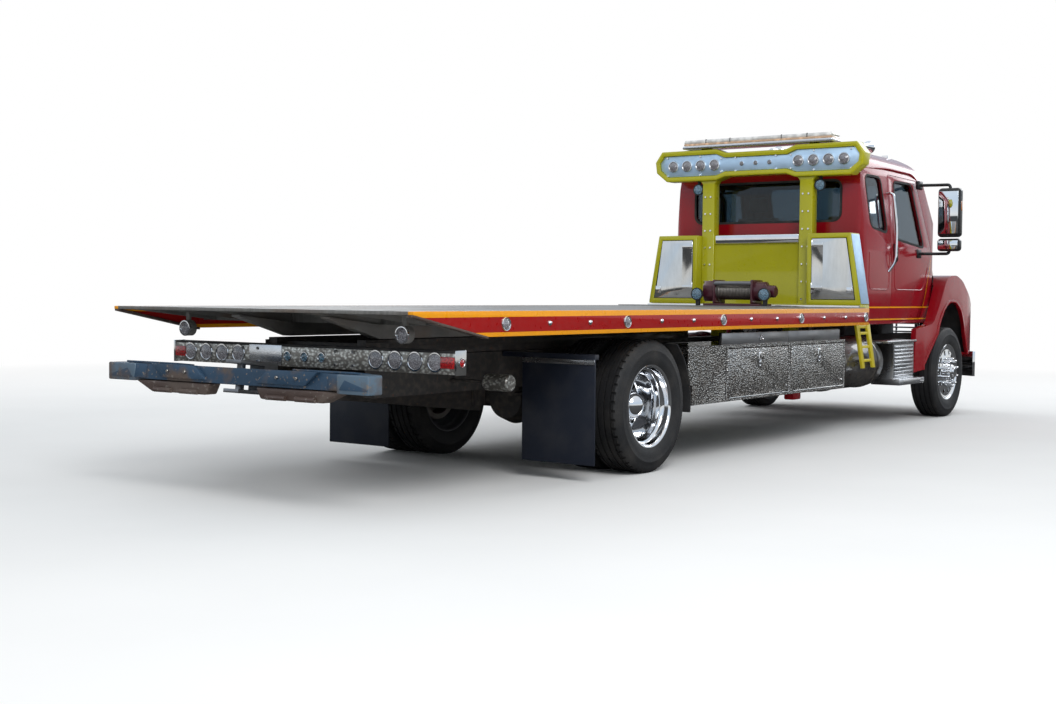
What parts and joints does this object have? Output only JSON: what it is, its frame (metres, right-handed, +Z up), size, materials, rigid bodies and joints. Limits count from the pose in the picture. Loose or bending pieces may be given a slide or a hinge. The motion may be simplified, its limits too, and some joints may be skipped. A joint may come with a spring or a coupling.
{
  "type": "flatbed tow truck",
  "caption": "Rollback flatbed tow truck: extended cab, steel deck that slides back and tilts, headboard with light pod, side toolboxes and a stowed wheel lift.",
  "frame": {"origin": "on the ground, under the middle of the truck's length and width", "axes": "+X forward, +Y to the driver's left, +Z up"},
  "size_m": [10.1993, 2.96, 2.9228],
  "materials": {
    "chassis_black": "satin black chassis paint",
    "engine_grey": "grey cast iron",
    "exhaust_steel": "heat-dulled steel",
    "tank_black": "black painted tank with bright straps",
    "bright_aluminium": "ribbed bright aluminium",
    "chrome_trim": "polished chrome",
    "cab_red": "deep red gloss with orange pinstripes",
    "glass": "tinted window glass",
    "seat_cloth": "dark grey cloth",
    "dash_plastic": "grained black plastic",
    "textured_steel": "quilted stainless steel",
    "polished_steel": "polished stainless steel",
    "flap_rubber": "dark navy rubber with bright edge strips",
    "board_yellow": "chartreuse gloss paint",
    "beacon_plastic": "clear and amber lens over a silver base",
    "ladder_yellow": "yellow paint",
    "mirror_black": "black shell with mirror glass",
    "lamp_chrome": "bright grille bars and clear lamps",
    "rim_aluminium": "polished aluminium",
    "tyre_rubber": "black tyre rubber",
    "rod_chrome": "hard chrome rod",
    "deck_steel": "worn grey steel plate",
    "rail_red": "deep red with amber edge stripes",
    "winch_maroon": "dark maroon paint",
    "lift_blue": "worn blue-grey paint",
    "stinger_steel": "bare greased steel"
  },
  "bodies": {
    "chassis": {"left_frame_rail": "chassis_black", "right_frame_rail": "chassis_black", "cross_members": "chassis_black", "front_axle": "chassis_black", "rear_axle": "chassis_black", "engine": "engine_grey", "exhaust": "exhaust_steel", "fuel_tanks": "tank_black", "side_steps": "bright_aluminium", "bumper": "chrome_trim", "cab_shell": "cab_red", "cab_glass": "glass", "cab_seats": "seat_cloth", "dashboard": "dash_plastic", "roof_lamps": "chrome_trim", "toolboxes": "textured_steel", "rear_light_bar": "polished_steel", "mud_flaps": "flap_rubber", "headboard_frame": "board_yellow", "headboard_boxes": "board_yellow", "light_pod": "board_yellow", "beacon_bar": "beacon_plastic", "ladders": "ladder_yellow"},
    "left_door": {"left_door": "cab_red", "left_door_glass": "glass", "left_mirror": "mirror_black"},
    "right_door": {"right_door": "cab_red", "right_door_glass": "glass", "right_mirror": "mirror_black"},
    "hood": {"hood": "cab_red", "front_lamps": "lamp_chrome"},
    "left_knuckle": {"left_knuckle": "chassis_black"},
    "right_knuckle": {"right_knuckle": "chassis_black"},
    "front_left_wheel": {"front_left_rim": "rim_aluminium", "front_left_tyre": "tyre_rubber"},
    "front_right_wheel": {"front_right_rim": "rim_aluminium", "front_right_tyre": "tyre_rubber"},
    "rear_left_wheels": {"rear_left_rims": "rim_aluminium", "rear_left_tyres": "tyre_rubber"},
    "rear_right_wheels": {"rear_right_rims": "rim_aluminium", "rear_right_tyres": "tyre_rubber"},
    "tilt_frame": {"tilt_frame": "chassis_black"},
    "tilt_barrels": {"tilt_barrels": "chassis_black"},
    "tilt_rods": {"tilt_rods": "rod_chrome"},
    "deck": {"deck": "deck_steel", "deck_rails": "rail_red", "winch": "winch_maroon"},
    "lift_boom": {"lift_boom": "lift_blue"},
    "lift_stinger": {"lift_stinger": "stinger_steel"},
    "lift_crossbar": {"lift_crossbar": "lift_blue"},
    "left_front_box_door": {"left_front_box_door": "textured_steel"},
    "left_rear_box_door": {"left_rear_box_door": "textured_steel"},
    "right_front_box_door": {"right_front_box_door": "textured_steel"},
    "right_rear_box_door": {"right_rear_box_door": "textured_steel"},
    "left_board_door": {"left_board_door": "polished_steel"},
    "right_board_door": {"right_board_door": "polished_steel"}
  },
  "joints": [
    {"name": "left_steer", "type": "hinge", "parent": "chassis", "child": "left_knuckle", "pos_m": [4.05, 0.86, 0.479], "axis": [0, 0, 1], "range_deg": [-35, 35]},
    {"name": "right_steer", "type": "hinge", "parent": "chassis", "child": "right_knuckle", "pos_m": [4.05, -0.86, 0.479], "axis": [0, 0, 1], "range_deg": [-35, 35]},
    {"name": "front_left_spin", "type": "hinge", "parent": "left_knuckle", "child": "front_left_wheel", "pos_m": [4.05, 1.052, 0.479], "axis": [0, 1, 0], "continuous": true},
    {"name": "front_right_spin", "type": "hinge", "parent": "right_knuckle", "child": "front_right_wheel", "pos_m": [4.05, -1.052, 0.479], "axis": [0, 1, 0], "continuous": true},
    {"name": "rear_left_spin", "type": "hinge", "parent": "chassis", "child": "rear_left_wheels", "pos_m": [-2.2, 0.925, 0.479], "axis": [0, 1, 0], "continuous": true},
    {"name": "rear_right_spin", "type": "hinge", "parent": "chassis", "child": "rear_right_wheels", "pos_m": [-2.2, -0.925, 0.479], "axis": [0, 1, 0], "continuous": true},
    {"name": "left_door_hinge", "type": "hinge", "parent": "chassis", "child": "left_door", "pos_m": [3.85, 1.05, 1.51], "axis": [0, 0, -1], "range_deg": [0, 62]},
    {"name": "right_door_hinge", "type": "hinge", "parent": "chassis", "child": "right_door", "pos_m": [3.85, -1.05, 1.51], "axis": [0, 0, 1], "range_deg": [0, 62]},
    {"name": "hood_hinge", "type": "hinge", "parent": "chassis", "child": "hood", "pos_m": [5.04, 0, 0.629], "axis": [0, 1, 0], "range_deg": [0, 55]},
    {"name": "deck_tilt", "type": "hinge", "parent": "chassis", "child": "tilt_frame", "pos_m": [-4.32, 0, 0.91], "axis": [0, -1, 0], "range_deg": [0, 12]},
    {"name": "deck_slide", "type": "slide", "parent": "tilt_frame", "child": "deck", "axis": [-1, 0, 0], "range_m": [0, 4.6]},
    {"name": "barrel_turn", "type": "hinge", "parent": "chassis", "child": "tilt_barrels", "pos_m": [-1.75, 0, 0.62], "axis": [0, -1, 0], "range_deg": [0, 32.24]},
    {"name": "rod_slide", "type": "slide", "parent": "tilt_barrels", "child": "tilt_rods", "axis": [0.9696, 0, 0.2447], "range_m": [0, 0.33]},
    {"name": "boom_lower", "type": "hinge", "parent": "chassis", "child": "lift_boom", "pos_m": [-2.8, 0, 0.519], "axis": [0, -1, 0], "range_deg": [0, 12]},
    {"name": "stinger_slide", "type": "slide", "parent": "lift_boom", "child": "lift_stinger", "axis": [-0.9942, 0, 0.108], "range_m": [0, 1]},
    {"name": "crossbar_swivel", "type": "hinge", "parent": "lift_stinger", "child": "lift_crossbar", "pos_m": [-5, 0, 0.758], "axis": [0.108, 0, 0.9942], "range_deg": [-12, 12]},
    {"name": "left_front_box_hinge", "type": "hinge", "parent": "chassis", "child": "left_front_box_door", "pos_m": [0.6175, 1.22, 0.482], "axis": [-1, 0, 0], "range_deg": [0, 90]},
    {"name": "left_rear_box_hinge", "type": "hinge", "parent": "chassis", "child": "left_rear_box_door", "pos_m": [-0.5275, 1.22, 0.482], "axis": [-1, 0, 0], "range_deg": [0, 90]},
    {"name": "left_board_hinge", "type": "hinge", "parent": "chassis", "child": "left_board_door", "pos_m": [1.685, 0.651, 1.52], "axis": [0, 0, 1], "range_deg": [0, 100]},
    {"name": "right_front_box_hinge", "type": "hinge", "parent": "chassis", "child": "right_front_box_door", "pos_m": [0.6175, -1.22, 0.482], "axis": [1, 0, 0], "range_deg": [0, 90]},
    {"name": "right_rear_box_hinge", "type": "hinge", "parent": "chassis", "child": "right_rear_box_door", "pos_m": [-0.5275, -1.22, 0.482], "axis": [1, 0, 0], "range_deg": [0, 90]},
    {"name": "right_board_hinge", "type": "hinge", "parent": "chassis", "child": "right_board_door", "pos_m": [1.685, -0.651, 1.52], "axis": [0, 0, -1], "range_deg": [0, 100]}
  ],
  "couplings": [
    {"joint": "right_steer", "follows": "left_steer", "ratio": 1},
    {"joint": "barrel_turn", "follows": "deck_tilt", "ratio": 2.6704},
    {"joint": "rod_slide", "follows": "deck_tilt", "m_per_rad": 1.564}
  ]
}
